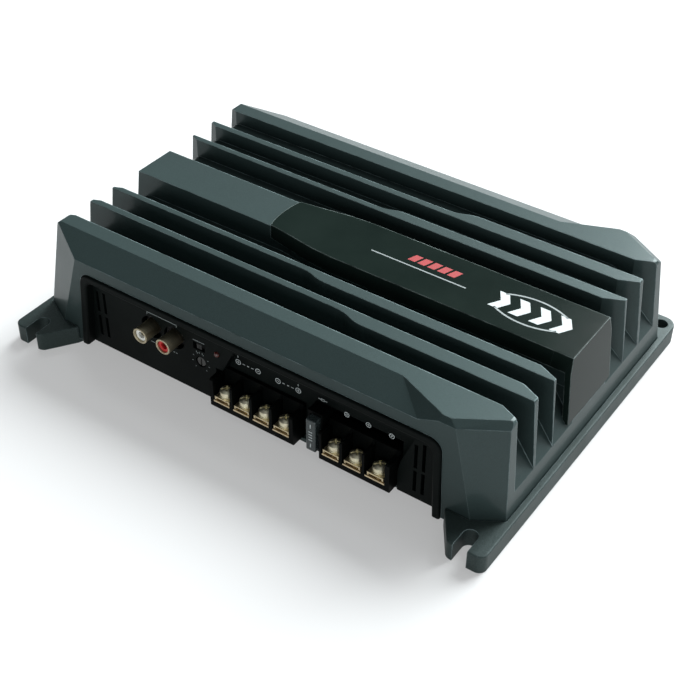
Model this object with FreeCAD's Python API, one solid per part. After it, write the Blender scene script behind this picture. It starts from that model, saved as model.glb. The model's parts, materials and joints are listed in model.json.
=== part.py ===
import FreeCAD, Part
import math
import os

# Two-channel car amplifier. Millimetres, +Z up, the connectors face -Y and the fins run along X.
# The origin is the middle of the footprint, on the surface that the tray stands on.

# Driving dimensions: the casing
HEIGHT = 59.0            # top of the two outer shoulders
FLANGE_X = 135.0         # half length of the tray's flange
FLANGE_TOP = 9.8         # thickness of the flange and the ears
FACE_Y = 83.4            # half depth at the front and rear faces
BASE_X = 131.8           # half length of the heatsink where it meets the tray
TOP_LEFT = -124.5        # ends of the fins at their tops
TOP_RIGHT = 127.4
SKIRT_Z = 2.3            # lower edge of the heatsink, on the tray's floor
CREASE_Z = 52.4          # where the sloped front turns down into the vertical face
SHOULDER_Y = 70.2        # outer edge of a shoulder's top, before it widens
CORNER_LEFT_X = -116.0   # where the corner chamfers start on the faces
CORNER_RIGHT_X = 118.8
CORNER_Y = 75.3

# Driving dimensions: the fins, as half distances from the middle line
SHOULDER_IN = 62.3
OUTER_FIN = (44.6, 48.1, 51.8)      # inner side, outer side at the left, outer side at the right
INNER_FIN = (28.9, 31.9, 34.8)
BLOCK_HALF = 12.2
OUTER_STEP = (24.0, 42.0)           # X span in which a fin grows to its full thickness
INNER_STEP = (-7.0, 9.0)
OUTER_FIN_TOP = 58.1
INNER_FIN_TOP = 57.3
BLOCK_TOP = 57.1
RAMP_X = 130.5                      # the gap floors drop to RAMP_Z at this X
RAMP_Z = 21.5
RAMP_SLOPE = 1.43
LEFT_RAMP_X = -120.5
RIDGE_IN = 4.2                      # how far each inner side is chamfered at the fin ends

# Driving dimensions: the badge cover
BADGE_LEFT = -41.2
BADGE_TOP = 57.8
BADGE_SKIRT = 50.0
BADGE_END_Z = 22.6
BADGE_WALL = 2.4
BADGE_ARC = 47.3         # radius of the joint with the block, which bulges 1.6 mm towards the left end
BADGE_STATIONS = (       # X, half width at the top, half width at the skirt
    (-41.2, 12.0, 12.3), (-26.0, 14.2, 15.3), (-12.0, 16.5, 18.2), (0.0, 17.4, 19.4), (140.0, 17.6, 19.6),
)

# Driving dimensions: the connector panel
PANEL_Y = -79.6          # front of the panel's plate
FRAME_Y = -84.6          # front of the raised frame round it
PANEL_BACK = -77.4
POCKET_Y = -74.9         # bottom of the black pocket behind the terminals
POCKET_BACK = -73.4
RECESS_BACK = -74.9
PANEL_FOOT = 1.9
OPENING = ((-104.6, -1.0), (104.9, -1.0), (102.9, 46.3), (-99.9, 46.3))
FRAME_BAND = 4.0

# Driving dimensions: connectors
RCA_X = (-60.0, -46.0)
RCA_Z = 28.5
RCA_R = 4.15
RCA_TIP = -88.0
SWITCH_AT = (-30.9, 30.2)
POT_AT = (-30.3, 21.4)
LED_AT = (-20.1, 30.9)
BLOCK_FRONT = -85.3
BLOCK_FOOT = 3.4
PLATE_Z = 7.6
PLATE_T = 0.8
WALL_TOP = 20.0
SCREW_Y = -81.0
SPEAKER_WALLS = (-19.9, -8.35, 3.1, 14.5, 25.95)
POWER_WALLS = (42.2, 53.4, 65.3, 77.9)
FUSE_X = (34.3, 39.6)
FUSE_Z = (5.9, 24.3)
BLADE_Z = (10.4, 19.8)

# Driving dimensions: mounting ears
SLOT_X = 123.6
SLOT_Y = -91.0
SLOT_R = 3.5
EAR_FRONT = -99.6
HOLE_X = 128.6
HOLE_Y = 86.6
HOLE_R = 3.5
EAR_REAR = 93.6

# Driving dimensions: inside
BOARD_Z = (5.5, 7.1)
BOARD_X = 108.0
BOARD_Y = (-64.0, 70.0)
BOSS_X = 114.5
BOSS_Y = (-58.0, 0.0, 58.0)
ROOF = 38.5


def vec(x, y, z):
    return FreeCAD.Vector(x, y, z)


def box(x0, x1, y0, y1, z0, z1):
    return Part.makeBox(x1 - x0, y1 - y0, z1 - z0, vec(x0, y0, z0))


def rod(x, y, z, radius, length, direction):
    return Part.makeCylinder(radius, length, vec(x, y, z), vec(*direction))


def prism_xy(points, z0, z1):
    wire = Part.makePolygon([vec(x, y, z0) for x, y in points] + [vec(points[0][0], points[0][1], z0)])
    return Part.Face(wire).extrude(vec(0, 0, z1 - z0))


def prism_xz(points, y0, y1):
    wire = Part.makePolygon([vec(x, y0, z) for x, z in points] + [vec(points[0][0], y0, points[0][1])])
    return Part.Face(wire).extrude(vec(0, y1 - y0, 0))


def prism_yz(points, x0, x1):
    wire = Part.makePolygon([vec(x0, y, z) for y, z in points] + [vec(x0, points[0][0], points[0][1])])
    return Part.Face(wire).extrude(vec(x1 - x0, 0, 0))


def mirror_y(shape):
    return shape.mirror(vec(0, 0, 0), vec(0, 1, 0))


def fuse_all(shapes):
    return shapes[0].multiFuse(shapes[1:]).removeSplitter()


def trim(shape, a, b, c):
    """Cut away what lies beyond the plane through a, b and c, on the side away from the middle."""
    origin = vec(*a)
    normal = (vec(*b) - origin).cross(vec(*c) - origin)
    normal.normalize()
    if normal.dot(origin - vec(0, 0, 20)) < 0:
        normal = normal * -1
    beyond = Part.makeBox(900, 900, 300, vec(-450, -450, 0))
    beyond.Placement = FreeCAD.Placement(origin, FreeCAD.Rotation(vec(0, 0, 1), normal))
    return shape.cut(beyond)


def round_edges(shape, radius, chosen):
    return shape.makeFillet(radius, [edge for edge in shape.Edges if chosen(edge)])


def is_upright(edge):
    span = edge.BoundBox
    return span.XLength < 0.01 and span.YLength < 0.01 and span.ZLength > 0.5


def save(name, shapes):
    solids = shapes if isinstance(shapes, list) else [shapes]
    shape = solids[0] if len(solids) == 1 else Part.makeCompound(solids)
    shape.exportStep(os.path.join("parts", name + ".step"))


# Heatsink: one casting, an outer envelope with six channels cut along X

def end_x(z, side):
    """X of the drafted end wall at height z."""
    top = TOP_RIGHT if side > 0 else TOP_LEFT
    return side * BASE_X + (top - side * BASE_X) * (z - FLANGE_TOP) / (HEIGHT - FLANGE_TOP)


def base_outline(grow):
    """Plan of the heatsink where it stands in the tray, grown by a clearance."""
    left = BASE_X + grow
    right = BASE_X + grow
    face = FACE_Y + grow
    front = [(-left, -CORNER_Y), (CORNER_LEFT_X, -face), (CORNER_RIGHT_X, -face), (right, -CORNER_Y)]
    return front + [(x, -y) for x, y in reversed(front)]


def end_profile():
    low = FLANGE_TOP
    points = [(-BASE_X, SKIRT_Z), (BASE_X, SKIRT_Z), (BASE_X, low), (TOP_RIGHT, HEIGHT), (TOP_LEFT, HEIGHT), (-BASE_X, low)]
    body = prism_xz(points, -FACE_Y, FACE_Y)
    return round_edges(body, 2.4, lambda edge: edge.BoundBox.ZMin > HEIGHT - 0.1 and edge.BoundBox.YLength > 100)


def front_half():
    """Front half of the envelope: a sloped fascia, corner chamfers and the bulge at the right."""
    half = end_profile().common(box(-200, 200, -FACE_Y, 0, 0, HEIGHT))
    half = trim(half, (-131.6, -CORNER_Y, FLANGE_TOP), (CORNER_LEFT_X, -FACE_Y, FLANGE_TOP), (-124.3, -70.9, HEIGHT))
    half = trim(half, (CORNER_RIGHT_X, -FACE_Y, FLANGE_TOP), (BASE_X, -CORNER_Y, FLANGE_TOP), (126.9, -72.0, 56.5))
    half = trim(half, (126.9, -72.0, 56.5), (108.6, -FACE_Y, 56.5), (104.8, -81.2, HEIGHT))
    plain = trim(half, (0, -SHOULDER_Y, HEIGHT), (10, -SHOULDER_Y, HEIGHT), (0, -FACE_Y, CREASE_Z))
    bulge = trim(half, (74.5, -SHOULDER_Y, HEIGHT), (99.4, -80.5, HEIGHT), (90.2, -FACE_Y, CREASE_Z))
    bulge = trim(bulge, (108.6, -FACE_Y, 56.5), (99.6, -FACE_Y, 56.5), (104.8, -81.2, HEIGHT))
    return plain.fuse(bulge.common(box(70, 200, -FACE_Y, 0, 0, HEIGHT)))


def step_curve(x0, y0, x1, y1):
    """Smooth S from (x0, y0) to (x1, y1) that leaves and arrives along X."""
    curve = Part.BezierCurve()
    middle = (x0 + x1) / 2
    curve.setPoles([vec(x0, y0, 0), vec(middle, y0, 0), vec(middle, y1, 0), vec(x1, y1, 0)])
    return curve.toShape()


def channel_plan(far, thin, wide, span):
    """Plan of one channel at +Y: near the middle a side that steps outwards, far from it a straight side."""
    right = [(200, wide), (200, far + RIDGE_IN + 36), (TOP_RIGHT, far + RIDGE_IN), (118.0, far)]
    left = [(LEFT_RAMP_X, far), (TOP_LEFT - 0.5, far + 2.0), (-200, far + 36), (-200, thin), (span[0], thin)]
    straight = [(span[1], wide)] + right + left
    edges = [Part.makeLine(vec(a[0], a[1], 0), vec(b[0], b[1], 0)) for a, b in zip(straight, straight[1:])]
    edges.append(step_curve(span[0], thin, span[1], wide))
    wire = Part.Wire(Part.__sortEdges__(edges))
    return Part.Face(wire).extrude(vec(0, 0, 100))


def channel_floor(floor):
    """Side view of the space in a channel: a flat floor that drops away in a ramp at each end."""
    top_of_ramp = RAMP_X - (floor - RAMP_Z) / RAMP_SLOPE
    drop = 12.0 * RAMP_SLOPE
    points = [(LEFT_RAMP_X - 12, floor - drop), (LEFT_RAMP_X, floor), (top_of_ramp, floor)]
    points += [(top_of_ramp + 30, floor - 30 * RAMP_SLOPE), (top_of_ramp + 30, 90), (LEFT_RAMP_X - 12, 90)]
    body = prism_xz(points, -100, 100)
    return round_edges(body, 6.0, lambda edge: edge.BoundBox.YLength > 100 and abs(edge.BoundBox.ZMin - floor) < 0.01)


def channels():
    """The six channels, each with its own floor height, front ones mirrored from the plan at +Y."""
    layout = (
        (1, SHOULDER_IN, OUTER_FIN[1], OUTER_FIN[2], OUTER_STEP, 51.5),
        (1, OUTER_FIN[0], INNER_FIN[1], INNER_FIN[2], INNER_STEP, 50.0),
        (1, INNER_FIN[0], BLOCK_HALF, 16.2, (-39.0, -6.0), 47.5),
        (-1, INNER_FIN[0], BLOCK_HALF, 16.2, (-39.0, -6.0), 44.8),
        (-1, OUTER_FIN[0], INNER_FIN[1], INNER_FIN[2], INNER_STEP, 43.2),
        (-1, SHOULDER_IN, OUTER_FIN[1], OUTER_FIN[2], OUTER_STEP, 42.2),
    )
    cutters = []
    for side, far, thin, wide, span, floor in layout:
        plan = channel_plan(far, thin, wide, span)
        if side < 0:
            plan = mirror_y(plan)
        cutters.append(plan.common(channel_floor(floor)))
    return cutters


def cavity():
    """Room for the electronics, open at the bottom, with its corners kept inside the chamfers."""
    plan = [(-121, -64), (-108, -76.5), (108, -76.5), (121.5, -64), (121.5, 64), (108, 76.5), (-108, 76.5), (-121, 64)]
    side = [(-122, -1), (-122, 26), (-112, ROOF), (101, ROOF), (122, 12), (122, -1)]
    return prism_xy(plan, -1, 60).common(prism_xz(side, -90, 90))


def opening(inset, y0, y1):
    """Outline of the front opening, with rounded upper corners."""
    left_foot, right_foot, right_top, left_top = OPENING
    points = [(left_foot[0] + inset, left_foot[1]), (right_foot[0] - inset, right_foot[1])]
    points += [(right_top[0] - inset, right_top[1] - inset), (left_top[0] + inset, left_top[1] - inset)]
    body = prism_xz(points, y0, y1)
    radius = 6.5 - min(inset, 4.0) * 0.6
    return round_edges(body, radius, lambda edge: edge.BoundBox.YLength > 1 and edge.BoundBox.ZMin > 40 and edge.BoundBox.XLength < 0.01)


def badge_body(grow, skirt):
    """Loft through the badge's cross-sections, grown by a clearance or shrunk by its wall."""
    wires = []
    for x, top, foot in BADGE_STATIONS:
        y_top = top + grow
        y_foot = foot + grow
        z_top = BADGE_TOP + grow
        start = x - max(grow, 0.0) if x == BADGE_LEFT else x
        points = [(-y_foot, skirt), (-y_top, z_top), (y_top, z_top), (y_foot, skirt)]
        ring = [vec(start, y, z) for y, z in points]
        wires.append(Part.makePolygon(ring + [ring[0]]))
    loft = Part.makeLoft(wires, True, True)
    disc = rod(BADGE_LEFT + BADGE_ARC, 0, 0, BADGE_ARC + grow, 90, (0, 0, 1))
    corners = box(BADGE_LEFT - 5, -10, -40, 40, 0, 90).cut(disc)
    return loft.cut(corners)


def badge_nose(grow):
    """The part of the cover that folds down over the right end of the middle block."""
    half = [(17.6 + grow, BADGE_TOP + grow), (19.6 + grow, BADGE_SKIRT), (20.5 + grow, BADGE_END_Z - grow)]
    return prism_yz(half + [(-y, z) for y, z in reversed(half)], 118, 140)


def behind_end(shape, depth):
    """Keep what lies at least depth inside the right end wall."""
    low = (end_x(FLANGE_TOP, 1) - depth, 0, FLANGE_TOP)
    high = (end_x(HEIGHT, 1) - depth, 0, HEIGHT)
    return trim(shape, low, high, (high[0], 10, HEIGHT))


def badge_envelope(grow):
    nose = badge_nose(grow)
    inner = box(100, 200, -30, 30, 0, BADGE_SKIRT).cut(nose_core_limit(grow))
    nose = nose.cut(inner)
    return badge_body(grow, BADGE_SKIRT - grow).fuse(nose)


def nose_core_limit(grow):
    """Slab next to the end wall in which the folded nose lies."""
    depth = BADGE_WALL + 0.6 + grow
    slab = box(100, 200, -30, 30, 0, 70)
    return slab.cut(behind_end(box(100, 200, -30, 30, 0, 70), depth))


def badge_cover():
    outer = behind_end(badge_envelope(0.0), -0.15)
    inner = badge_body(-BADGE_WALL, BADGE_SKIRT - 1)
    inner = behind_end(inner, BADGE_WALL + 0.6)
    cover = outer.cut(inner)
    pegs = [rod(x, 0, BADGE_TOP - BADGE_WALL - 4.0, 2.0, 4.2, (0, 0, 1)) for x in (-20.0, 50.0, 112.0)]
    return fuse_all([cover] + pegs)


def heatsink():
    half = front_half()
    body = half.fuse(mirror_y(half)).removeSplitter()
    skirt = prism_xy(base_outline(0.0), SKIRT_Z, FLANGE_TOP)
    body = body.cut(box(-200, 200, -200, 200, 0, FLANGE_TOP).cut(skirt)).removeSplitter()
    lower_tops = [
        box(-200, 200, -SHOULDER_IN, SHOULDER_IN, OUTER_FIN_TOP, 80),
        box(-200, 200, -OUTER_FIN[0], OUTER_FIN[0], INNER_FIN_TOP, 80),
        box(-200, 200, -20.5, 20.5, BLOCK_TOP, 80),
    ]
    body = body.cut(fuse_all(lower_tops))
    for cutter in channels():
        body = body.cut(cutter)
    body = body.cut(behind_end(badge_envelope(0.2), -5.0))
    core = behind_end(badge_body(-BADGE_WALL - 0.2, 40.0), BADGE_WALL + 1.0)
    body = body.fuse(core)
    room = cavity()
    bosses = [rod(side * BOSS_X, y, SKIRT_Z, 3.8, 40.0, (0, 0, 1)) for side in (-1, 1) for y in BOSS_Y]
    body = body.cut(room.cut(fuse_all(bosses)))
    body = body.cut(opening(0.0, -120, RECESS_BACK))
    body = body.cut(box(-99, 99, -78, 0, -1, 8.0).common(box(-99, 99, -78, -60, -1, 8)))
    body = body.cut(box(-200, 200, -200, 200, -5, SKIRT_Z))
    holes = [rod(side * BOSS_X, y, SKIRT_Z - 1, 1.55, 14.0, (0, 0, 1)) for side in (-1, 1) for y in BOSS_Y]
    holes += [rod(x, 70, 22.0, 1.55, 12.0, (0, 1, 0)) for x in CLAMP_SCREW_X]
    holes += [rod(x, 0, BADGE_TOP - BADGE_WALL - 4.4, 2.15, 6.0, (0, 0, 1)) for x in (-20.0, 50.0, 112.0)]
    return body.cut(fuse_all(holes)).removeSplitter()


# Bottom tray: a floor, a flange all round and four mounting ears

def tray_outline():
    """Plan of the tray, clockwise from the front left slot."""
    right = [
        (106.9, -84.5), (117.2, EAR_FRONT), (FLANGE_X, EAR_FRONT),
        (FLANGE_X, EAR_REAR), (112.0, EAR_REAR), (106.0, 86.6),
    ]
    left = [(-x, y) for x, y in reversed(right)]
    return right + left + [(-104.3, -77.3), (104.3, -77.3)]


def bottom_tray():
    tray = prism_xy(tray_outline(), 0.0, FLANGE_TOP)
    tray = round_edges(tray, 4.0, lambda edge: is_upright(edge) and abs(edge.BoundBox.YMin) > 95)
    tray = round_edges(tray, 6.5, lambda edge: is_upright(edge) and edge.BoundBox.YMin > 92)
    tray = round_edges(tray, 0.7, lambda edge: edge.BoundBox.ZMin > FLANGE_TOP - 0.01)
    tray = tray.cut(prism_xy(base_outline(0.3), 2.0, 20.0))
    cuts = []
    for side in (-1, 1):
        cuts.append(rod(side * SLOT_X, SLOT_Y, -1, SLOT_R, 20, (0, 0, 1)))
        cuts.append(box(side * SLOT_X - SLOT_R, side * SLOT_X + SLOT_R, -120, SLOT_Y, -1, 20))
        cuts.append(rod(side * HOLE_X, HOLE_Y, -1, HOLE_R, 20, (0, 0, 1)))
    for side in (-1, 1):
        for y in BOSS_Y:
            cuts.append(rod(side * BOSS_X, y, -1, 1.7, 6, (0, 0, 1)))
            cuts.append(Part.makeCone(3.1, 1.7, 1.5, vec(side * BOSS_X, y, 0), vec(0, 0, 1)))
    for x in PANEL_SCREW_X:
        cuts.append(rod(x, -72.0, -1, 1.4, 6, (0, 0, 1)))
        cuts.append(Part.makeCone(2.5, 1.4, 1.2, vec(x, -72.0, 0), vec(0, 0, 1)))
    tray = tray.cut(fuse_all(cuts))
    posts = [rod(x, y, 1.9, 3.5, BOARD_Z[0] - 1.9, (0, 0, 1)) for x, y in BOARD_SCREWS]
    tray = fuse_all([tray] + posts)
    return tray.cut(fuse_all([rod(x, y, 1.2, 1.2, 8, (0, 0, 1)) for x, y in BOARD_SCREWS]))


# Connector panel

VENTS = ((-94.4, 22.7, 34.9), (-94.4, 8.0, 20.2), (-89.9, 22.7, 35.2), (-89.9, 8.2, 20.4),
         (88.5, 19.9, 33.6), (88.5, 6.0, 18.2), (92.6, 19.9, 35.6), (92.6, 6.0, 18.4))
PANEL_SCREW_X = (-86.0, 86.0)
POCKET = ((-21.4, -1.0), (-21.4, 19.6), (-17.7, 21.5), (-10.3, 36.3), (87.6, 36.3), (80.8, 19.2), (79.7, 13.0), (79.7, -1.0))


def connector_panel():
    plate = opening(0.25, PANEL_Y, PANEL_BACK)
    frame = opening(0.25, FRAME_Y, PANEL_BACK).cut(opening(0.25 + FRAME_BAND, FRAME_Y - 1, PANEL_BACK + 1))
    frame = round_edges(frame, 1.1, lambda edge: edge.BoundBox.YMax < FRAME_Y + 0.01 and edge.BoundBox.ZMax > 5)
    pocket_wall = prism_xz(POCKET, PANEL_Y, POCKET_Y)
    pocket_floor = prism_xz(POCKET, POCKET_Y, POCKET_BACK)
    rim = box(-23.2, 89.4, PANEL_BACK - 0.1, POCKET_BACK, PANEL_FOOT, 38.0)
    body = fuse_all([plate.cut(pocket_wall), frame, rim.cut(pocket_wall), pocket_floor])
    cuts = [box(x - 0.85, x + 0.85, -90, -70, z0, z1) for x, z0, z1 in VENTS]
    cuts += [rod(x, -90, RCA_Z, 6.2, 20, (0, 1, 0)) for x in RCA_X]
    cuts.append(box(SWITCH_AT[0] - 3.5, SWITCH_AT[0] + 3.5, -90, -70, SWITCH_AT[1] - 2.0, SWITCH_AT[1] + 2.0))
    cuts.append(rod(POT_AT[0], -90, POT_AT[1], 3.0, 20, (0, 1, 0)))
    cuts.append(rod(LED_AT[0], -90, LED_AT[1], 1.6, 20, (0, 1, 0)))
    cuts.append(box(SPEAKER_WALLS[0] - 1.3, SPEAKER_WALLS[-1] + 1.3, -90, -70, -2, 22.3))
    cuts.append(box(FUSE_X[0] - 1.7, POWER_WALLS[-1] + 1.4, -90, -70, -2, 27.0))
    cuts.append(box(-200, 200, -120, -60, -5, PANEL_FOOT))
    cuts.append(box(-200, 200, -77.6, -60, -5, 2.15))
    feet = [box(x - 5, x + 5, PANEL_BACK - 0.1, -67.5, 2.15, 5.3) for x in PANEL_SCREW_X]
    body = fuse_all([body.cut(fuse_all(cuts))] + feet)
    return body.cut(fuse_all([rod(x, -72.0, 0, 1.15, 4.6, (0, 0, 1)) for x in PANEL_SCREW_X]))


# Inputs and controls

def rca_housing():
    body = box(-67.5, -38.5, -75.0, -60.0, BOARD_Z[1], 36.5)
    body = round_edges(body, 1.0, lambda edge: edge.BoundBox.ZMin > 36 or is_upright(edge))
    bores = [rod(x, -80, RCA_Z, RCA_R - 0.2, 14, (0, 1, 0)) for x in RCA_X]
    tails = [rod(x, -68, RCA_Z, 2.3, 5, (0, 1, 0)) for x in RCA_X]
    return body.cut(fuse_all(bores + tails))


def rca_shell(x):
    barrel = rod(x, RCA_TIP, RCA_Z, RCA_R, 12.0, (0, 1, 0))
    root = rod(x, -76.1, RCA_Z, RCA_R - 0.25, 9.9, (0, 1, 0))
    return barrel.fuse(root).cut(rod(x, -100, RCA_Z, 3.2, 60, (0, 1, 0)))


def rca_insulator(x):
    body = rod(x, RCA_TIP + 0.9, RCA_Z, 3.15, 18.9, (0, 1, 0))
    body = body.cut(rod(x, -90, RCA_Z, 1.75, 40, (0, 1, 0)))
    return body.cut(rod(x, RCA_TIP + 3.0, RCA_Z, 2.25, 40, (0, 1, 0)))


def rca_contact(x):
    tube = rod(x, RCA_TIP + 3.1, RCA_Z, 2.2, 19.5, (0, 1, 0))
    return tube.cut(rod(x, -90, RCA_Z, 1.65, 20, (0, 1, 0)))


def control_board():
    outline = [(-38, BOARD_Z[1] + 0.02), (-21.6, BOARD_Z[1] + 0.02), (-21.6, 14), (-15, 14), (-15, 36), (-38, 36)]
    return prism_xz(outline, -70.6, -69.0)


def lpf_switch_body():
    x, z = SWITCH_AT
    body = box(x - 5.5, x + 5.5, -77.2, -70.7, z - 3.4, z + 3.4)
    return body.cut(box(x - 3.6, x + 3.6, -78, -73.4, z - 1.7, z + 1.7))


def lpf_switch_slider():
    x, z = SWITCH_AT
    foot = box(x - 1.5, x + 1.5, -77.0, -73.7, z - 1.4, z + 1.4)
    knob = box(x - 1.3, x + 1.3, -79.4, -77.0, z - 1.3, z + 1.3)
    slider = foot.fuse(knob)
    grooves = [box(x + dx - 0.2, x + dx + 0.2, -79.5, -79.0, z - 2, z + 2) for dx in (-0.7, 0.0, 0.7)]
    return slider.cut(fuse_all(grooves)).removeSplitter()


def level_pot_body():
    x, z = POT_AT
    body = box(x - 4.2, x + 4.2, -77.2, -70.7, z - 4.2, z + 4.2)
    return body.cut(rod(x, -79, z, 2.55, 6.5, (0, 1, 0)))


def level_pot_rotor():
    x, z = POT_AT
    body = rod(x, -79.3, z, 2.5, 6.6, (0, 1, 0))
    body = round_edges(body, 0.3, lambda edge: edge.BoundBox.YMax < -79.2)
    slot = box(x - 0.4, x + 0.4, -80, -78.3, z - 3, z + 1.9)
    return body.cut(slot)


def status_led():
    x, z = LED_AT
    body = rod(x, -79.4, z, 1.5, 6.6, (0, 1, 0))
    dome = Part.makeSphere(1.5, vec(x, -79.4, z))
    flange = rod(x, POCKET_BACK + 0.05, z, 1.9, 0.8, (0, 1, 0))
    legs = [box(x + dx - 0.25, x + dx + 0.25, -72.9, -70.65, z - 0.25, z + 0.25) for dx in (-0.9, 0.9)]
    return fuse_all([body, dome, flange] + legs)


# Terminal blocks: vertical screws with saddle clamps, in bays open to the front and the top

def bays(walls):
    return [(a, b) for a, b in zip(walls, walls[1:])]


def bay_middle(bay):
    return (bay[0] + bay[1]) / 2


def terminal_block(walls, left_wall, right_wall):
    x0 = walls[0] - left_wall / 2
    x1 = walls[-1] + right_wall / 2
    shelf = box(x0, x1, BLOCK_FRONT, -72.4, BLOCK_FOOT, PLATE_Z)
    back = box(x0, x1, -76.5, -72.4, PLATE_Z, 21.8)
    tail = box(x0 + 1, x1 - 1, -72.6, -58.0, BOARD_Z[1], 13.0)
    shapes = [shelf, back, tail]
    for x in walls:
        width = left_wall if x == walls[0] else right_wall if x == walls[-1] else 1.3
        side = [(BLOCK_FRONT, PLATE_Z - 0.5), (BLOCK_FRONT, WALL_TOP - 0.8), (BLOCK_FRONT + 0.8, WALL_TOP)]
        side += [(-78.0, WALL_TOP), (-76.0, 21.8), (-76.0, PLATE_Z - 0.5)]
        shapes.append(prism_yz(side, x - width / 2, x + width / 2))
    body = fuse_all(shapes)
    body = round_edges(body, 0.9, lambda edge: edge.BoundBox.YMax < BLOCK_FRONT + 0.01 and edge.BoundBox.ZMax < BLOCK_FOOT + 0.01)
    for bay in bays(walls):
        body = body.cut(terminal_plate(bay, 0.0))
        body = body.cut(rod(bay_middle(bay), SCREW_Y, BLOCK_FOOT + 0.6, 1.8, 8, (0, 0, 1)))
    return body


def terminal_plate(bay, hole):
    x = bay_middle(bay)
    half = (bay[1] - bay[0]) / 2 - 1.15
    plate = box(x - half, x + half, BLOCK_FRONT - 0.25, -76.55, PLATE_Z - 0.2, PLATE_Z + PLATE_T - 0.2)
    plate = plate.fuse(box(x - 1.6, x + 1.6, -76.7, -66.0, PLATE_Z - 0.2, PLATE_Z + PLATE_T - 0.2)).removeSplitter()
    if hole > 0:
        plate = plate.cut(rod(x, SCREW_Y, 0, hole, 20, (0, 0, 1)))
    return plate


def terminal_clamp(bay):
    """Saddle washer: a square plate whose two sides are turned down onto the terminal plate."""
    x = bay_middle(bay)
    low = PLATE_Z + PLATE_T
    section = [(-4.3, low), (-4.3, low + 2.0), (4.3, low + 2.0), (4.3, low), (3.4, low), (3.4, low + 1.1), (-3.4, low + 1.1), (-3.4, low)]
    saddle = prism_xz([(x + dx, z) for dx, z in section], SCREW_Y - 4.1, SCREW_Y + 4.1)
    return saddle.cut(rod(x, SCREW_Y, 0, 1.78, 20, (0, 0, 1)))


def terminal_screw(bay):
    """Domed head with a combined slot and cross, a captive round washer and a plain shank."""
    x = bay_middle(bay)
    under = PLATE_Z + PLATE_T + 2.05
    shank = rod(x, SCREW_Y, BLOCK_FOOT + 0.9, 1.7, under - BLOCK_FOOT, (0, 0, 1))
    washer = rod(x, SCREW_Y, under, 3.75, 0.6, (0, 0, 1))
    head = rod(x, SCREW_Y, under + 0.5, 3.45, 2.3, (0, 0, 1))
    dome = Part.makeSphere(5.23, vec(x, SCREW_Y, under + 4.1 - 5.23))
    dome = dome.common(rod(x, SCREW_Y, under + 2.0, 3.45, 3.0, (0, 0, 1)))
    body = fuse_all([shank, washer, head, dome])
    slot = box(x - 4, x + 4, SCREW_Y - 0.42, SCREW_Y + 0.42, under + 3.1, 30)
    cross = box(x - 0.42, x + 0.42, SCREW_Y - 1.9, SCREW_Y + 1.9, under + 2.4, 30)
    tool = slot.fuse(cross)
    tool.rotate(vec(x, SCREW_Y, 0), vec(0, 0, 1), 35)
    return body.cut(tool)


# Fuse

def fuse_middle():
    return (FUSE_X[0] + FUSE_X[1]) / 2


def fuse_holder():
    x0, x1 = FUSE_X
    z0, z1 = FUSE_Z
    body = box(x0 - 1.4, x1 + 1.3, -81.6, -60.0, BLOCK_FOOT, 26.6)
    body = body.cut(box(x0 - 1.4, x1 + 1.3, -66.0, -59.0, 0, BOARD_Z[1]))
    body = body.cut(box(x0 - 0.25, x1 + 0.25, -90, -75.8, z0 - 0.3, z1 + 0.3))
    x = fuse_middle()
    for z in BLADE_Z:
        body = body.cut(box(x - 1.3, x + 1.3, -76, -66.5, z - 2.8, z + 2.8))
    return body


def fuse_clips():
    x = fuse_middle()
    clips = []
    for z in BLADE_Z:
        for side in (-1, 1):
            near = x + side * 0.6
            far = x + side * 1.2
            clips.append(box(min(near, far), max(near, far), -75.4, -67.0, z - 2.6, z + 2.6))
    return clips


def blade_fuse():
    x0, x1 = FUSE_X
    z0, z1 = FUSE_Z
    x = fuse_middle()
    head = box(x0, x1, BLOCK_FRONT, -79.6, z0, z1)
    head = round_edges(head, 0.6, lambda edge: edge.BoundBox.YMax < -79.7 or edge.BoundBox.YLength > 3)
    body = head.fuse(box(x0 + 0.5, x1 - 0.5, -79.7, -76.0, z0 + 1.2, z1 - 1.2)).removeSplitter()
    body = body.cut(box(x - 1.6, x + 1.6, BLOCK_FRONT + 0.9, -77.0, z0 + 2.0, z1 - 2.0))
    for z in BLADE_Z:
        body = body.cut(box(x - 0.45, x + 0.45, -78, -75, z - 2.45, z + 2.45))
    return body


def fuse_blades():
    x = fuse_middle()
    blades = [box(x - 0.33, x + 0.33, -81.0, -69.0, z - 2.4, z + 2.4) for z in BLADE_Z]
    link = Part.makeTorus(3.4, 0.33, vec(x, -80.5, 15.1), vec(1, 0, 0))
    link = link.common(box(x - 2, x + 2, -86, -80.5, 0, 30))
    return fuse_all(blades + [link])


# Electronics inside

BOARD_SCREWS = ((-100.0, -56.0), (-100.0, 60.0), (0.0, 2.0), (100.0, -50.0), (100.0, 60.0))
TRANSISTOR_X = (-88.0, -72.0, -56.0, -40.0, 30.0, 46.0, 62.0, 78.0)
CLAMP_SCREW_X = (-80.0, -48.0, 38.0, 70.0)


def main_board():
    board = box(-BOARD_X, BOARD_X, BOARD_Y[0], BOARD_Y[1], BOARD_Z[0], BOARD_Z[1])
    holes = [rod(x, y, 0, 1.6, 20, (0, 0, 1)) for x, y in BOARD_SCREWS]
    return board.cut(fuse_all(holes))


def pan_screw(x, y, z, radius, head, length):
    """Screw that points down from z, with a low pan head above it."""
    body = rod(x, y, z - length, radius, length + 0.1, (0, 0, 1)).fuse(rod(x, y, z, head, 1.6, (0, 0, 1)))
    return body.cut(box(x - head, x + head, y - 0.35, y + 0.35, z + 0.9, z + 3))


def board_screws():
    return [pan_screw(x, y, BOARD_Z[1] + 0.02, 1.15, 2.7, 4.8) for x, y in BOARD_SCREWS]


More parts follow.
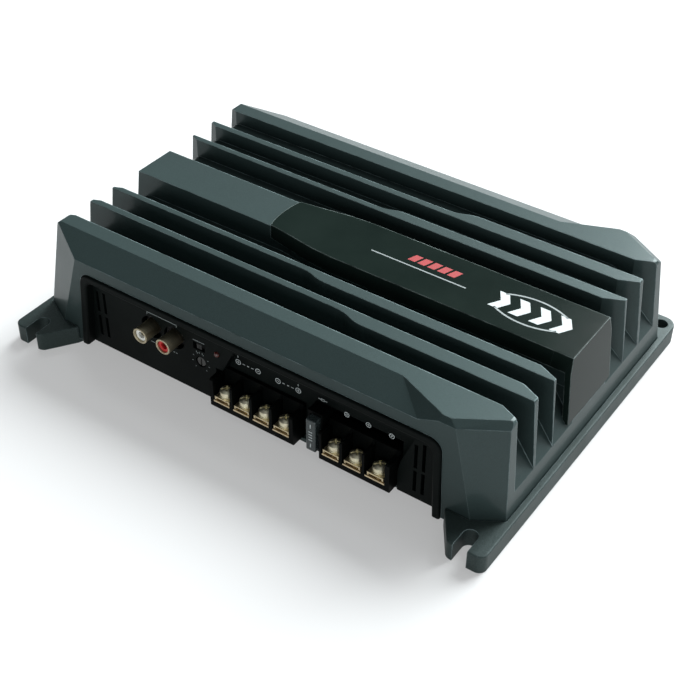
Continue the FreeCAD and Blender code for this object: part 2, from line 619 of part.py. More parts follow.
def flat_screw(x, y, radius, head, length):
    """Countersunk screw that points up from the underside of the tray."""
    cone = Part.makeCone(head, radius, head - radius, vec(x, y, 0.15), vec(0, 0, 1))
    body = cone.fuse(rod(x, y, 0.3, radius, length, (0, 0, 1)))
    return body.cut(fuse_all([box(x - 1.6, x + 1.6, y - 0.3, y + 0.3, 0, 0.9), box(x - 0.3, x + 0.3, y - 1.6, y + 1.6, 0, 0.9)]))


def tray_screws():
    return [flat_screw(side * BOSS_X, y, 1.45, 2.85, 11.0) for side in (-1, 1) for y in BOSS_Y]


def panel_screws():
    return [flat_screw(x, -72.0, 1.1, 2.25, 3.9) for x in PANEL_SCREW_X]


def toroid_core():
    ring = Part.makeTorus(15.0, 6.0, vec(62, 8, 15.0), vec(0, 0, 1))
    pedestal = rod(62, 8, BOARD_Z[1], 6.0, 10.0, (0, 0, 1))
    return [ring, pedestal]


def toroid_winding():
    turns = []
    for index in range(18):
        angle = math.radians(index * 20.0)
        centre = vec(62 + 15.0 * math.cos(angle), 8 + 15.0 * math.sin(angle), 15.0)
        turns.append(Part.makeTorus(6.9, 0.8, centre, vec(-math.sin(angle), math.cos(angle), 0)))
    return turns


def can(x, y, radius, height):
    """Electrolytic capacitor with a pinched waist near its top."""
    body = rod(x, y, BOARD_Z[1] + 0.02, radius, height, (0, 0, 1))
    body = round_edges(body, 0.8, lambda edge: edge.BoundBox.ZMin > BOARD_Z[1] + height - 0.5)
    groove = Part.makeTorus(radius + 0.3, 0.8, vec(x, y, BOARD_Z[1] + 3.0), vec(0, 0, 1))
    return body.cut(groove)


def rail_capacitors():
    return [can(x, -34, 8.0, 27.0) for x in (-4.0, 15.0, 34.0)] + [can(92, y, 6.3, 20.0) for y in (-24.0, -8.0)]


def output_inductors():
    drums = []
    for x in (-34.0, -55.0):
        drum = rod(x, -36, BOARD_Z[1] + 0.02, 8.0, 13.0, (0, 0, 1))
        drums.append(drum.cut(Part.makeTorus(8.6, 2.2, vec(x, -36, BOARD_Z[1] + 6.5), vec(0, 0, 1))))
    return drums


def power_transistors():
    parts = []
    for x in TRANSISTOR_X:
        case = box(x - 5, x + 5, 71.6, 75.7, 14.0, 23.5)
        tab = box(x - 5, x + 5, 74.4, 75.7, 23.4, 30.0).cut(rod(x, 70, 27.0, 1.8, 8, (0, 1, 0)))
        legs = [box(x + dx - 0.4, x + dx + 0.4, 73.0, 73.5, 7.4, 14.2) for dx in (-2.54, 0, 2.54)]
        feet = [box(x + dx - 0.4, x + dx + 0.4, 68.0, 73.5, 7.15, 7.6) for dx in (-2.54, 0, 2.54)]
        parts.append(fuse_all([case, tab] + legs + feet))
    return parts


def thermal_pads():
    return [box(x - 6, x + 6, 75.75, 76.45, 12.5, 31.0) for x in TRANSISTOR_X]


def clamp_bars():
    bars = []
    for x0, x1 in ((-96.0, -32.0), (22.0, 86.0)):
        bar = box(x0, x1, 69.8, 71.5, 18.0, 26.0)
        holes = [rod(x, 60, 22.0, 1.7, 20, (0, 1, 0)) for x in CLAMP_SCREW_X if x0 < x < x1]
        bars.append(bar.cut(fuse_all(holes)))
    return bars


def clamp_screws():
    screws = []
    for x in CLAMP_SCREW_X:
        body = rod(x, 69.6, 22.0, 1.45, 11.8, (0, 1, 0)).fuse(rod(x, 67.7, 22.0, 2.9, 2.0, (0, 1, 0)))
        screws.append(body.cut(box(x - 0.4, x + 0.4, 67.0, 68.7, 19.0, 25.0)))
    return screws


def board_components():
    """Control circuits, small capacitors and power resistors, standing on the board."""
    top = BOARD_Z[1] + 0.02
    chips = [box(x - 9, x + 9, y - 3.2, y + 3.2, top, top + 3.6) for x, y in ((-78.0, -18.0), (-78.0, 0.0), (-40.0, 4.0))]
    drums = [rod(x, y, top, 3.0, 9.0, (0, 0, 1)) for x in (-92.0, -80.0, -68.0) for y in (-40.0, 22.0)]
    blocks = [box(x - 4, x + 4, y - 11, y + 11, top, top + 8) for x, y in ((-16.0, 30.0), (4.0, 30.0), (20.0, 30.0))]
    return chips + drums + blocks


def build():
    os.makedirs("parts", exist_ok=True)
    save("heatsink", heatsink())
    save("badge_cover", badge_cover())
    save("bottom_tray", bottom_tray())
    save("connector_panel", connector_panel())
    save("rca_housing", rca_housing())
    save("rca_shells", [rca_shell(x) for x in RCA_X])
    save("rca_insulator_white", rca_insulator(RCA_X[0]))
    save("rca_insulator_red", rca_insulator(RCA_X[1]))
    save("rca_contacts", [rca_contact(x) for x in RCA_X])
    save("control_board", control_board())
    save("lpf_switch_body", lpf_switch_body())
    save("lpf_switch_slider", lpf_switch_slider())
    save("level_pot_body", level_pot_body())
    save("level_pot_rotor", level_pot_rotor())
    save("status_led", status_led())
    for name, walls, left_wall, right_wall in (
        ("speaker", SPEAKER_WALLS, 2.0, 2.2),
        ("power", POWER_WALLS, 1.3, 2.4),
    ):
        save(name + "_terminal_block", terminal_block(walls, left_wall, right_wall))
        save(name + "_terminal_plates", [terminal_plate(bay, 1.8) for bay in bays(walls)])
        for number, bay in enumerate(bays(walls), start=1):
            save(name + "_clamp_" + str(number), terminal_clamp(bay))
            save(name + "_screw_" + str(number), terminal_screw(bay))
    save("fuse_holder", fuse_holder())
    save("fuse_clips", fuse_clips())
    save("blade_fuse", blade_fuse())
    save("fuse_blades", fuse_blades())
    save("main_board", main_board())
    save("board_screws", board_screws())
    save("tray_screws", tray_screws())
    save("panel_screws", panel_screws())
    save("toroid_core", toroid_core())
    save("toroid_winding", toroid_winding())
    save("rail_capacitors", rail_capacitors())
    save("output_inductors", output_inductors())
    save("power_transistors", power_transistors())
    save("thermal_pads", thermal_pads())
    save("clamp_bars", clamp_bars())
    save("clamp_screws", clamp_screws())
    save("board_components", board_components())


build()
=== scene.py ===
import json
import math

import bmesh
import bpy
from mathutils import Matrix, Vector


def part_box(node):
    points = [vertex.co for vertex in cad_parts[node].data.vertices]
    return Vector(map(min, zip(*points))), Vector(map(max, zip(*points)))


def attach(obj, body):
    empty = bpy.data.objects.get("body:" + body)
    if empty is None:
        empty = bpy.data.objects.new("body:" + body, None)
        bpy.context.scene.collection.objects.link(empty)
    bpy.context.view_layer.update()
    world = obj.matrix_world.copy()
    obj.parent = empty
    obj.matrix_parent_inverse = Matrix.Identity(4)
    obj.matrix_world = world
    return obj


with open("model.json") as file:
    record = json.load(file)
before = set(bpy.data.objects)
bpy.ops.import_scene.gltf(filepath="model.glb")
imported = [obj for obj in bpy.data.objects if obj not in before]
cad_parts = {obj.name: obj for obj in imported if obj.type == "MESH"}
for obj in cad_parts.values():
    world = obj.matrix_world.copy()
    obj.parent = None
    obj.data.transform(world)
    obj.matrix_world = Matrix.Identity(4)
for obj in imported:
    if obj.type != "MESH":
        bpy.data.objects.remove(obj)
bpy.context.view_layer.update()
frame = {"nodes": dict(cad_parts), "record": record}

NODES = frame["nodes"]
MM = 0.001

# The camera stands in front of the right corner and looks down on the fins.
CAMERA_AT = (0.293909, -0.431122, 0.422565)
CAMERA_RIGHT = (0.821488, 0.570151, 0.009199)
CAMERA_UP = (-0.370034, 0.520743, 0.769352)
CAMERA_LENS = 68.26

# The studio is brightest behind the right end, and bright all round near the horizon.
SKY_COLOUR = (0.93, 0.98, 1.0, 1.0)
SKY_BRIGHT_SIDE = (0.68, 0.55, 0.48)
SKY_DARK = 0.05
SKY_BRIGHT = 0.55
SKY_HORIZON = 0.62
HORIZON_BAND = 0.16

# Each lamp: name, place, the point it faces, size and power
LAMP_COLOUR = (0.94, 0.985, 1.0)
LAMPS = (
    ("rear_softbox", (0.50, 3.30, 2.50), (0, 0, 0.03), 3.0, 590.0),
    ("front_softbox", (0.6, -2.9, 0.7), (0, 0, 0.03), 1.4, 24.0),
    ("edge_light", (-0.86, 0.60, 1.74), (0, 0, 0.05), 0.35, 4.0),
)

# The floor lies a hair below the tray, so that the two surfaces don't share a plane.
FLOOR_SIZE = 60.0
FLOOR_DROP = 0.0002
FLOOR_GLOW = 0.34

# Painted highlight: the coat colour is made lighter along edges, where they catch the light
EDGE_HIGHLIGHT_COLOUR = (0.24, 0.31, 0.32)
BADGE_EDGE_HIGHLIGHT_COLOUR = (0.24, 0.29, 0.28)
COAT_EDGE_RADIUS = 0.0007
BADGE_EDGE_RADIUS = 0.0008

# Surfaces that the printed marks lie on, and the marks' places, in millimetres
PLATE_FACE_Y = -79.6
POCKET_FACE_Y = -74.9
SWITCH_AT = (-30.9, 30.2)
DIAL_AT = (-30.3, 21.4)
JACKS_X = (-60.0, -46.0)
FUSE_SYMBOL_AT = (36.4, 28.6)
SPEAKER_ROW = 27.4
POWER_ROW = 26.8
BRACE_ROW = 31.4
INPUT_BRACE_ROW = 37.0
INPUT_DASH_ROW = 19.6
SPEAKER_SHIFT = 2.6      # how far a speaker terminal's mark stands beside its screw
POWER_SHIFT = 1.6
MARK_RISE = 0.06


# ---------------------------------------------------------------- materials

class Shader:
    """A node material with one Principled shader, built step by step."""

    def __init__(self, name, colour, roughness, metallic=0.0, specular=0.5, coat=0.0,
                 coat_roughness=0.1, ior=1.5):
        self.material = bpy.data.materials.new(name)
        self.material.use_nodes = True
        self.tree = self.material.node_tree
        self.shader = self.tree.nodes["Principled BSDF"]
        self.set("Base Color", (*colour, 1.0))
        self.set("Roughness", roughness)
        self.set("Metallic", metallic)
        self.set("Specular IOR Level", specular)
        self.set("Coat Weight", coat)
        self.set("Coat Roughness", coat_roughness)
        self.set("IOR", ior)
        self.place = self.node("ShaderNodeTexCoord").outputs["Object"]
        self.bump_input = None

    def set(self, socket, value):
        self.shader.inputs[socket].default_value = value

    def node(self, kind, **values):
        made = self.tree.nodes.new(kind)
        for name, value in values.items():
            setattr(made, name, value)
        return made

    def link(self, source, target):
        self.tree.links.new(source, target)

    def stretched(self, scale):
        mapping = self.node("ShaderNodeMapping")
        mapping.inputs["Scale"].default_value = scale
        self.link(self.place, mapping.inputs["Vector"])
        return mapping.outputs["Vector"]

    def noise(self, scale, detail=3.0, stretch=None, roughness=0.5):
        made = self.node("ShaderNodeTexNoise")
        made.inputs["Scale"].default_value = scale
        made.inputs["Detail"].default_value = detail
        made.inputs["Roughness"].default_value = roughness
        self.link(self.stretched(stretch) if stretch else self.place, made.inputs["Vector"])
        return made.outputs["Fac"]

    def ramp(self, factor, stops):
        made = self.node("ShaderNodeValToRGB")
        elements = made.color_ramp.elements
        while len(elements) < len(stops):
            elements.new(0.5)
        for element, (position, value) in zip(elements, stops):
            element.position = position
            element.color = (*value, 1.0) if isinstance(value, tuple) else (value, value, value, 1.0)
        self.link(factor, made.inputs["Fac"])
        return made.outputs["Color"]

    def between(self, factor, low, high):
        """A colour that runs from low to high over the middle of a noise."""
        return self.ramp(factor, [(0.3, low), (0.7, high)])

    def mix(self, factor, first, second, blend="MIX"):
        made = self.node("ShaderNodeMix", data_type="RGBA", blend_type=blend)
        for socket_name, value in (("Factor", factor), ("A", first), ("B", second)):
            socket = made.inputs[socket_name]
            if isinstance(value, tuple):
                socket.default_value = (*value, 1.0)
            elif isinstance(value, (int, float)):
                socket.default_value = value
            else:
                self.link(value, socket)
        return made.outputs["Result"]

    def colour_from(self, output):
        self.link(output, self.shader.inputs["Base Color"])

    def roughness_between(self, factor, low, high):
        made = self.node("ShaderNodeMapRange")
        made.inputs["To Min"].default_value = low
        made.inputs["To Max"].default_value = high
        self.link(factor, made.inputs["Value"])
        self.link(made.outputs["Result"], self.shader.inputs["Roughness"])

    def bump(self, factor, strength, distance):
        made = self.node("ShaderNodeBump")
        made.inputs["Strength"].default_value = strength
        made.inputs["Distance"].default_value = distance
        self.link(factor, made.inputs["Height"])
        if self.bump_input is None:
            self.link(made.outputs["Normal"], self.shader.inputs["Normal"])
        else:
            self.link(made.outputs["Normal"], self.bump_input)
        self.bump_input = made.inputs["Normal"]

    def rounded(self, radius):
        """Rounds edges in the shading; gives a mask that is near 1 along the edges, of uneven strength, for
        a painted highlight.
        """
        made = self.node("ShaderNodeBevel", samples=6)
        made.inputs["Radius"].default_value = radius
        self.link(made.outputs["Normal"], self.bump_input or self.shader.inputs["Normal"])
        facing = self.node("ShaderNodeVectorMath", operation="DOT_PRODUCT")
        self.link(made.outputs["Normal"], facing.inputs[0])
        self.link(self.node("ShaderNodeNewGeometry").outputs["True Normal"], facing.inputs[1])
        mask = self.node("ShaderNodeMapRange", clamp=True)
        mask.inputs["From Min"].default_value = 0.99
        mask.inputs["From Max"].default_value = 0.80
        self.link(facing.outputs["Value"], mask.inputs["Value"])
        painted_highlight = self.node("ShaderNodeMath", operation="MULTIPLY")
        self.link(mask.outputs["Result"], painted_highlight.inputs[0])
        self.link(self.spread(self.noise(130.0, 4.0), 0.28, 0.62), painted_highlight.inputs[1])
        return painted_highlight.outputs["Value"]

    def axis(self, letter):
        made = self.node("ShaderNodeSeparateXYZ")
        self.link(self.place, made.inputs["Vector"])
        return made.outputs[letter]

    def spread(self, value, low, high):
        made = self.node("ShaderNodeMapRange", clamp=True)
        made.inputs["From Min"].default_value = low
        made.inputs["From Max"].default_value = high
        self.link(value, made.inputs["Value"])
        return made.outputs["Result"]


def shade(colour, factor):
    return tuple(min(1.0, channel * factor) for channel in colour)


def coated_casting():
    """Slate-grey metallic coat on a die casting: fine flake, faint orange peel, painted shade that makes it
    darker low down, and a painted highlight along edges.
    """
    made = Shader("coated_casting", (0.03, 0.04, 0.042), 0.45, metallic=0.3, specular=0.05,
                  coat=0.22, coat_roughness=0.14)
    flake = made.noise(2600.0, 1.0)
    cloud = made.noise(18.0, 4.0)
    colour = made.ramp(flake, [(0.25, (0.028, 0.041, 0.0405)), (0.75, (0.038, 0.057, 0.0565))])
    colour = made.mix(made.spread(cloud, 0.3, 0.7), colour, made.mix(0.5, colour, (0.034, 0.053, 0.052)))
    # Painted shade: the walls are darker towards the bottom, next to the tray
    low = made.spread(made.axis("Z"), 0.004, 0.026)
    colour = made.mix(low, made.mix(0.45, colour, (0.010, 0.016, 0.015)), colour)
    made.roughness_between(made.noise(60.0, 5.0), 0.38, 0.48)
    made.bump(made.noise(420.0, 3.0), 0.12, 0.00025)
    made.bump(flake, 0.05, 0.00005)
    # Painted highlight: a lighter colour along the edges, of uneven strength
    edge_highlight = made.rounded(COAT_EDGE_RADIUS)
    made.colour_from(made.mix(edge_highlight, colour, EDGE_HIGHLIGHT_COLOUR))
    return made.material


def coated_tray():
    made = Shader("coated_tray", (0.06, 0.07, 0.07), 0.5, metallic=0.2, specular=0.15)
    colour = made.between(made.noise(1800.0, 2.0), (0.022, 0.032, 0.031), (0.046, 0.065, 0.064))
    colour = made.mix(made.spread(made.noise(25.0, 4.0), 0.35, 0.7), colour, (0.027, 0.039, 0.037))
    made.roughness_between(made.noise(80.0, 5.0), 0.42, 0.58)
    made.bump(made.noise(900.0, 4.0), 0.25, 0.0002)
    # Painted highlight: a lighter colour along the edges, of uneven strength
    edge_highlight = made.rounded(COAT_EDGE_RADIUS)
    made.colour_from(made.mix(edge_highlight, colour, EDGE_HIGHLIGHT_COLOUR))
    return made.material


def moulded(name, colour, roughness, grain=1400.0, depth=0.00012, specular=0.5, coat=0.0, spread=0.25):
    """Moulded plastic: spark-eroded grain, a little cloudiness and uneven gloss."""
    made = Shader(name, colour, roughness, specular=specular, coat=coat)
    cloud = made.noise(40.0, 4.0)
    made.colour_from(made.between(cloud, shade(colour, 1.0 - spread), shade(colour, 1.0 + spread)))
    made.roughness_between(made.noise(120.0, 5.0), roughness * 0.85, min(1.0, roughness * 1.15))
    made.bump(made.noise(grain, 3.0), 0.3, depth)
    return made.material


def glossy_badge():
    made = Shader("glossy_badge", (0.004, 0.006, 0.005), 0.16, specular=0.05)
    colour = made.between(made.noise(30.0, 4.0), (0.005, 0.0095, 0.008), (0.0085, 0.0145, 0.0122))
    made.roughness_between(made.noise(70.0, 5.0), 0.12, 0.22)
    made.bump(made.noise(22.0, 2.0), 0.05, 0.0004)
    # Painted highlight: a lighter colour along the edges, of uneven strength
    edge_highlight = made.rounded(BADGE_EDGE_RADIUS)
    made.colour_from(made.mix(edge_highlight, colour, BADGE_EDGE_HIGHLIGHT_COLOUR))
    return made.material


def metal(name, colour, roughness, stretch=(1.0, 1.0, 1.0), grain=900.0, depth=0.00006, dull=0.7):
    """Plated or brushed metal: stretched scratches, and dull stains that change colour and gloss."""
    made = Shader(name, colour, roughness, metallic=1.0)
    lines = made.noise(grain, 4.0, stretch)
    stain = made.noise(260.0, 5.0)
    bright = made.between(lines, shade(colour, 0.82), shade(colour, 1.12))
    made.colour_from(made.mix(made.spread(stain, 0.45, 0.75), bright, shade(colour, dull)))
    made.roughness_between(stain, roughness * 0.7, min(1.0, roughness * 1.5))
    made.bump(lines, 0.3, depth)
    return made.material


def smoked_plastic(name, colour, weight):
    made = Shader(name, colour, 0.12, specular=0.5, ior=1.58)
    made.set("Transmission Weight", weight)
    made.colour_from(made.between(made.noise(90.0, 3.0), shade(colour, 0.85), shade(colour, 1.15)))
    made.roughness_between(made.noise(200.0, 4.0), 0.08, 0.2)
    made.bump(made.noise(60.0, 2.0), 0.06, 0.0003)
    return made.material


def circuit_board():
    made = Shader("circuit_board", (0.02, 0.10, 0.05), 0.35, specular=0.5)
    brick = made.node("ShaderNodeTexBrick", offset=0.35)
    brick.inputs["Scale"].default_value = 120.0
    brick.inputs["Color1"].default_value = (0.015, 0.075, 0.035, 1.0)
    brick.inputs["Color2"].default_value = (0.022, 0.11, 0.05, 1.0)
    brick.inputs["Mortar"].default_value = (0.05, 0.19, 0.09, 1.0)
    brick.inputs["Mortar Size"].default_value = 0.03
    made.link(made.place, brick.inputs["Vector"])
    made.colour_from(brick.outputs["Color"])
    made.roughness_between(made.noise(300.0, 4.0), 0.25, 0.45)
    made.bump(brick.outputs["Fac"], 0.3, 0.0001)
    return made.material


def printed(name, colour):
    """Pad-printed ink: slightly uneven, matt."""
    made = Shader(name, colour, 0.55, specular=0.4)
    made.colour_from(made.between(made.noise(700.0, 4.0), shade(colour, 0.82), shade(colour, 1.05)))
    made.bump(made.noise(1500.0, 2.0), 0.2, 0.00005)
    return made.material


def studio_floor():
    made = Shader("studio_floor", (0.42, 0.42, 0.42), 0.9, specular=0.1)
    made.colour_from(made.between(made.noise(3.0, 3.0), (0.41, 0.41, 0.41), (0.43, 0.43, 0.43)))
    made.set("Emission Color", (1.0, 1.0, 1.0, 1.0))
    made.set("Emission Strength", FLOOR_GLOW)
    return made.material


LOOKS = {
    "casting": coated_casting(),
    "tray_coat": coated_tray(),
    "panel_plastic": moulded("panel_plastic", (0.003, 0.0046, 0.0042), 0.5, 1700.0, 0.00010, specular=0.05),
    "badge_gloss": glossy_badge(),
    "black_plastic": moulded("black_plastic", (0.015, 0.015, 0.016), 0.5),
    "block_plastic": moulded("block_plastic", (0.002, 0.0026, 0.0025), 0.4, 1500.0, 0.00010, specular=0.04),
    "shell_plating": metal("shell_plating", (0.50, 0.44, 0.31), 0.36, (1.0, 8.0, 1.0), 300.0),
    "white_plastic": moulded("white_plastic", (0.78, 0.78, 0.74), 0.4, spread=0.05),
    "red_plastic": moulded("red_plastic", (0.55, 0.02, 0.02), 0.4, spread=0.12),
    "contact_plating": metal("contact_plating", (0.72, 0.62, 0.40), 0.3),
    "circuit_board": circuit_board(),
    "slider_plastic": moulded("slider_plastic", (0.03, 0.03, 0.03), 0.45, spread=0.1),
    "rotor_plastic": moulded("rotor_plastic", (0.035, 0.035, 0.033), 0.45, spread=0.1),
    "led_lens": smoked_plastic("led_lens", (0.10, 0.02, 0.015), 0.3),
    "plate_metal": metal("plate_metal", (0.90, 0.74, 0.50), 0.36, (6.0, 1.0, 1.0), 500.0),
    "clamp_metal": metal("clamp_metal", (0.90, 0.76, 0.50), 0.34, (1.0, 6.0, 1.0), 500.0),
    "screw_nickel": metal("screw_nickel", (0.95, 0.86, 0.64), 0.36, (1.0, 1.0, 1.0), 700.0, dull=0.85),
    "fuse_plastic": smoked_plastic("fuse_plastic", (0.045, 0.06, 0.062), 0.3),
    "blade_metal": metal("blade_metal", (0.62, 0.62, 0.60), 0.3, (1.0, 8.0, 1.0), 500.0),
    "screw_steel": metal("screw_steel", (0.5, 0.5, 0.5), 0.3),
    "black_screw": metal("black_screw", (0.06, 0.06, 0.06), 0.35),
    "ferrite": moulded("ferrite", (0.07, 0.07, 0.07), 0.7, 900.0, 0.0002),
    "copper_wire": metal("copper_wire", (0.60, 0.24, 0.10), 0.25, (1.0, 1.0, 10.0), 400.0),
    "capacitor_sleeve": moulded("capacitor_sleeve", (0.02, 0.02, 0.035), 0.25, 600.0, 0.00005, coat=0.3),
    "chip_plastic": moulded("chip_plastic", (0.02, 0.02, 0.02), 0.6),
    "pad_sheet": moulded("pad_sheet", (0.40, 0.45, 0.45), 0.7),
    "bar_metal": metal("bar_metal", (0.6, 0.6, 0.6), 0.35, (1.0, 10.0, 10.0), 200.0),
}
INK_WHITE = printed("ink_white", (0.46, 0.50, 0.50))
INK_GREY = printed("ink_grey", (0.22, 0.25, 0.25))
INK_RED = printed("ink_red", (0.30, 0.012, 0.014))


# ---------------------------------------------------------------- carried-over nodes

def soften(node, width, angle=25.0, segments=3):
    """Round the sharp edges of a carried-over node a little, so that they catch the light."""
    weld = node.modifiers.new("weld", "WELD")
    weld.merge_threshold = 0.000004
    bevel = node.modifiers.new("bevel", "BEVEL")
    bevel.width = width
    bevel.segments = segments
    bevel.limit_method = "ANGLE"
    bevel.angle_limit = math.radians(angle)
    bevel.harden_normals = True
    bevel.use_clamp_overlap = True
    bevel.miter_outer = "MITER_ARC"


SLOTS = {entry["node"]: entry["material_slot"] for entry in frame["record"]["subparts"]}
SOFT_EDGES = {
    "heatsink": 0.0008, "connector_panel": 0.0002, "badge_cover": 0.0005,
    "speaker_terminal_block": 0.00022, "power_terminal_block": 0.00022, "fuse_holder": 0.0003,
    "rca_insulator_white": 0.00025, "rca_insulator_red": 0.00025, "rca_shells": 0.00012,
}
for name, node in NODES.items():
    node.data.materials.clear()
    node.data.materials.append(LOOKS[SLOTS[name]])
    if "clamp_" in name or "_screw_" in name:
        soften(node, 0.00016)
    elif name in SOFT_EDGES:
        soften(node, SOFT_EDGES[name])


# ---------------------------------------------------------------- printed marks

def flat_piece(name, outlines, thickness, to_world, material, body="chassis"):
    """Thin raised shapes: each outline is a closed list of points, laid on a surface by to_world."""
    mesh = bpy.data.meshes.new(name)
    work = bmesh.new()
    for outline in outlines:
        low = [work.verts.new(to_world(u, v, 0.0)) for u, v in outline]
        high = [work.verts.new(to_world(u, v, thickness)) for u, v in outline]
        work.faces.new(high)
        work.faces.new(list(reversed(low)))
        for index in range(len(outline)):
            after = (index + 1) % len(outline)
            work.faces.new((low[index], low[after], high[after], high[index]))
    bmesh.ops.recalc_face_normals(work, faces=work.faces)
    work.to_mesh(mesh)
    work.free()
    piece = bpy.data.objects.new(name, mesh)
    bpy.context.scene.collection.objects.link(piece)
    mesh.materials.append(material)
    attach(piece, body)
    return piece


def on_badge(u, v, rise):
    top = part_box("badge_cover")[1][2]
    return Vector((u * MM, v * MM, top + rise * MM))


def on_panel(depth):
    def place(u, v, rise):
        return Vector((u * MM, (depth - rise) * MM, v * MM))
    return place


def arc(x, y, radius, start, end, width, steps=20):
    """Closed outline of a curved stroke, angles in degrees."""
    angles = [math.radians(start + (end - start) * index / steps) for index in range(steps + 1)]

    def curve(reach):
        return [(x + reach * math.cos(angle), y + reach * math.sin(angle)) for angle in angles]

    return curve(radius + width / 2) + curve(radius - width / 2)[::-1]


def stroke(x0, y0, x1, y1, width):
    length = math.hypot(x1 - x0, y1 - y0)
    nx = -(y1 - y0) / length * width / 2
    ny = (x1 - x0) / length * width / 2
    return [(x0 + nx, y0 + ny), (x0 - nx, y0 - ny), (x1 - nx, y1 - ny), (x1 + nx, y1 + ny)]


def ring(x, y, radius, width):
    """Two half rings that together make a circle."""
    return [arc(x, y, radius, 0, 180, width, 14), arc(x, y, radius, 180, 360, width, 14)]


def slanted(x, y, width, height, lean):
    """Leaning bar: a parallelogram with its lower left corner at (x, y)."""
    return [(x, y), (x + width, y), (x + width + lean, y + height), (x + lean, y + height)]


def brace(left, right, row, width):
    """A line with a short leg at each end."""
    legs = [stroke(x, row + 0.1, x, row - 1.4, 0.3) for x in (left, right)]
    return [stroke(left, row, right, row, width)] + legs


def plus(x, row, reach, width):
    return [stroke(x - reach, row, x + reach, row, width), stroke(x, row - reach, x, row + reach, width)]


def fuse_symbol(x, row):
    """A small box with a lead at each end."""
    shapes = [stroke(x - 2.4, row, x - 1.0, row, 0.3), stroke(x + 1.0, row, x + 2.4, row, 0.3)]
    shapes += [stroke(x - 1.0, row + side, x + 1.0, row + side, 0.25) for side in (0.5, -0.5)]
    shapes += [stroke(x + side, row - 0.5, x + side, row + 0.5, 0.25) for side in (-0.9, 0.9)]
    return shapes


def badge_marks():
    """Plain stripes and chevrons in place of lettering."""
    def on_cover(name, shapes, ink):
        flat_piece(name, shapes, MARK_RISE, on_badge, ink)

    bars = [slanted(30.0 + 5.4 * index, 2.2, 4.0, 5.2, 1.9) for index in range(5)]
    on_cover("badge_red_strip", bars, INK_RED)
    on_cover("badge_fine_line", [slanted(12.0, -1.8, 52.0, 0.7, 0.2)], INK_GREY)
    chevrons = []
    for index in range(4):
        x = 78.0 + 10.4 * index
        front = [(x, -6.0), (x + 5.0, -6.0), (x + 8.6, 0.0)]
        back = [(x + 5.0, 6.0), (x, 6.0), (x + 3.6, 0.0)]
        chevrons.append(front + back)
    on_cover("badge_chevrons", chevrons, INK_WHITE)
    sweeps = [arc(97.0, -24.0, 33.5, 62, 118, 0.9), arc(97.0, 24.0, 33.5, 242, 298, 0.9)]
    on_cover("badge_sweeps", sweeps, INK_GREY)


def fuse_marks():
    """Pale bars down the front of the fuse, which rides with it."""
    low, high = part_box("blade_fuse")
    x = (low[0] + high[0]) / 2 / MM
    front = on_panel(low[1] / MM)
    base = low[2] / MM
    shapes = [stroke(x, base + 2.2, x, base + 4.4, 0.5), stroke(x, base + 13.8, x, base + 16.0, 0.5)]
    shapes += [stroke(x - 1.0, base + z, x + 1.0, base + z, 0.5) for z in (6.6, 8.2, 9.8, 11.4)]
    flat_piece("fuse_marks", shapes, MARK_RISE, front, INK_WHITE, "fuse")


def terminal_centres(kind, count):
    centres = []
    for number in range(1, count + 1):
        low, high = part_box(kind + "_screw_" + str(number))
        centres.append((low[0] + high[0]) / 2 / MM)
    return centres


def speaker_marks():
    """A polarity ring by each speaker terminal, dashes between pairs and a brace over all four."""
    row = SPEAKER_ROW
    centres = [x + SPEAKER_SHIFT for x in terminal_centres("speaker", 4)]
    shapes = []
    for index, x in enumerate(centres):
        shapes += ring(x, row, 1.35, 0.34)
        if index in (0, 3):
            shapes += plus(x, row, 0.7, 0.32)
        else:
            shapes.append(stroke(x - 0.7, row, x + 0.7, row, 0.32))
    for first, second in ((0, 1), (2, 3)):
        middle = (centres[first] + centres[second]) / 2
        for near, far, width in ((-3.2, -1.8, 0.3), (-0.5, 0.5, 0.5), (1.8, 3.2, 0.3)):
            shapes.append(stroke(middle + near, row, middle + far, row, width))
    shapes += brace(centres[0], centres[3], BRACE_ROW, 0.3)
    flat_piece("speaker_marks", shapes, MARK_RISE, on_panel(POCKET_FACE_Y), INK_WHITE)


def power_marks():
    """A fuse symbol, and rings with an open arc, a plus and three bars."""
    row = POWER_ROW
    remote, supply, ground = [x + POWER_SHIFT for x in terminal_centres("power", 3)]
    shapes = fuse_symbol(*FUSE_SYMBOL_AT)
    for x in (remote, supply, ground):
        shapes += ring(x, row, 1.25, 0.32)
    shapes.append(arc(remote, row, 0.5, 20, 340, 0.3))
    shapes += plus(supply, row, 0.7, 0.32)
    for step in range(3):
        reach = 0.8 - 0.25 * step
        level = row + 0.5 - 0.5 * step
        shapes.append(stroke(ground - reach, level, ground + reach, level, 0.24))
    flat_piece("power_marks", shapes, MARK_RISE, on_panel(POCKET_FACE_Y), INK_WHITE)


def input_marks():
    """A brace over the phono jacks, one dash under the first and two under the second."""
    row = INPUT_DASH_ROW
    first, second = JACKS_X
    shapes = brace(first - 2.0, second + 2.0, INPUT_BRACE_ROW, 0.35)
    shapes.append(stroke(first - 1.2, row, first + 1.2, row, 0.4))
    shapes += [stroke(second + x, row, second + x + 0.9, row, 0.4) for x in (-1.2, 0.3)]
    flat_piece("input_marks", shapes, MARK_RISE, on_panel(PLATE_FACE_Y), INK_GREY)


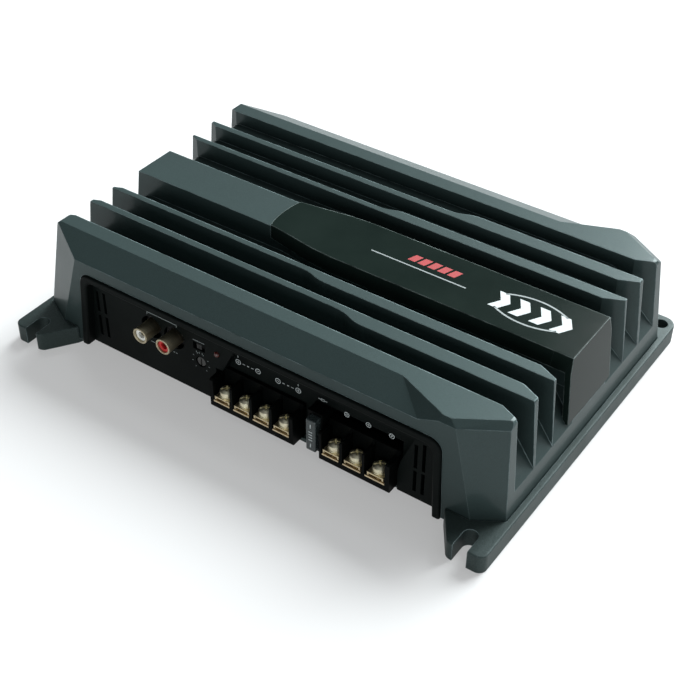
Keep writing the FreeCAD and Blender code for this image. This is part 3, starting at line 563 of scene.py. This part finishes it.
def control_marks():
    """Ticks under the switch, a line over it and a fan of ticks round the level control."""
    x, row = SWITCH_AT
    shapes = [stroke(x + dx, row - 3.9, x + dx, row - 2.9, 0.28) for dx in (-1.75, 0.0, 1.75)]
    shapes.append(stroke(x - 3.4, row + 3.2, x + 3.4, row + 3.2, 0.28))
    x, row = DIAL_AT
    for step in range(8):
        angle = math.radians(-50 + 40 * step)
        near, far = [(x + reach * math.cos(angle), row + reach * math.sin(angle)) for reach in (4.6, 5.4)]
        shapes.append(stroke(*near, *far, 0.26))
    flat_piece("control_marks", shapes, MARK_RISE, on_panel(PLATE_FACE_Y), INK_GREY)


# ---------------------------------------------------------------- stage

def floor():
    bpy.ops.mesh.primitive_plane_add(size=FLOOR_SIZE, location=(0, 0, -FLOOR_DROP))
    plane = bpy.context.active_object
    plane.name = "floor"
    plane.data.materials.append(studio_floor())


def fade(tree, value, start, end, low, high):
    """World node that fades smoothly from low to high as the value runs from start to end."""
    made = tree.nodes.new("ShaderNodeMapRange")
    made.interpolation_type = "SMOOTHSTEP"
    for socket, number in (("From Min", start), ("From Max", end), ("To Min", low), ("To Max", high)):
        made.inputs[socket].default_value = number
    tree.links.new(value, made.inputs["Value"])
    return made.outputs["Result"]


def sky():
    world = bpy.data.worlds.new("studio")
    bpy.context.scene.world = world
    world.use_nodes = True
    tree = world.node_tree
    direction = tree.nodes.new("ShaderNodeTexCoord").outputs["Generated"]
    facing = tree.nodes.new("ShaderNodeVectorMath")
    facing.operation = "DOT_PRODUCT"
    facing.inputs[1].default_value = SKY_BRIGHT_SIDE
    tree.links.new(direction, facing.inputs[0])
    height = tree.nodes.new("ShaderNodeSeparateXYZ")
    tree.links.new(direction, height.inputs["Vector"])
    brighter = tree.nodes.new("ShaderNodeMath")
    brighter.operation = "MAXIMUM"
    tree.links.new(fade(tree, facing.outputs["Value"], -0.3, 1.0, SKY_DARK, SKY_BRIGHT), brighter.inputs[0])
    tree.links.new(fade(tree, height.outputs["Z"], HORIZON_BAND, 0.0, 0.0, SKY_HORIZON), brighter.inputs[1])
    background = tree.nodes["Background"]
    background.inputs["Color"].default_value = SKY_COLOUR
    tree.links.new(brighter.outputs["Value"], background.inputs["Strength"])


def lamps():
    for name, place, target, size, power in LAMPS:
        lamp = bpy.data.lights.new(name, "AREA")
        lamp.shape = "SQUARE"
        lamp.size = size
        lamp.energy = power
        lamp.color = LAMP_COLOUR
        holder = bpy.data.objects.new(name, lamp)
        holder.location = place
        direction = Vector(target) - Vector(place)
        holder.rotation_euler = direction.to_track_quat("-Z", "Y").to_euler()
        bpy.context.scene.collection.objects.link(holder)


def camera():
    data = bpy.data.cameras.new("camera")
    data.lens = CAMERA_LENS
    data.sensor_width = 36.0
    holder = bpy.data.objects.new("camera", data)
    right = Vector(CAMERA_RIGHT)
    up = Vector(CAMERA_UP)
    back = right.cross(up)
    turn = Matrix((right, up, back)).transposed().to_4x4()
    holder.matrix_world = Matrix.Translation(CAMERA_AT) @ turn
    bpy.context.scene.collection.objects.link(holder)
    bpy.context.scene.camera = holder


badge_marks()
speaker_marks()
power_marks()
input_marks()
control_marks()
fuse_marks()
floor()
sky()
lamps()
camera()
bpy.context.scene.view_settings.view_transform = "Standard"
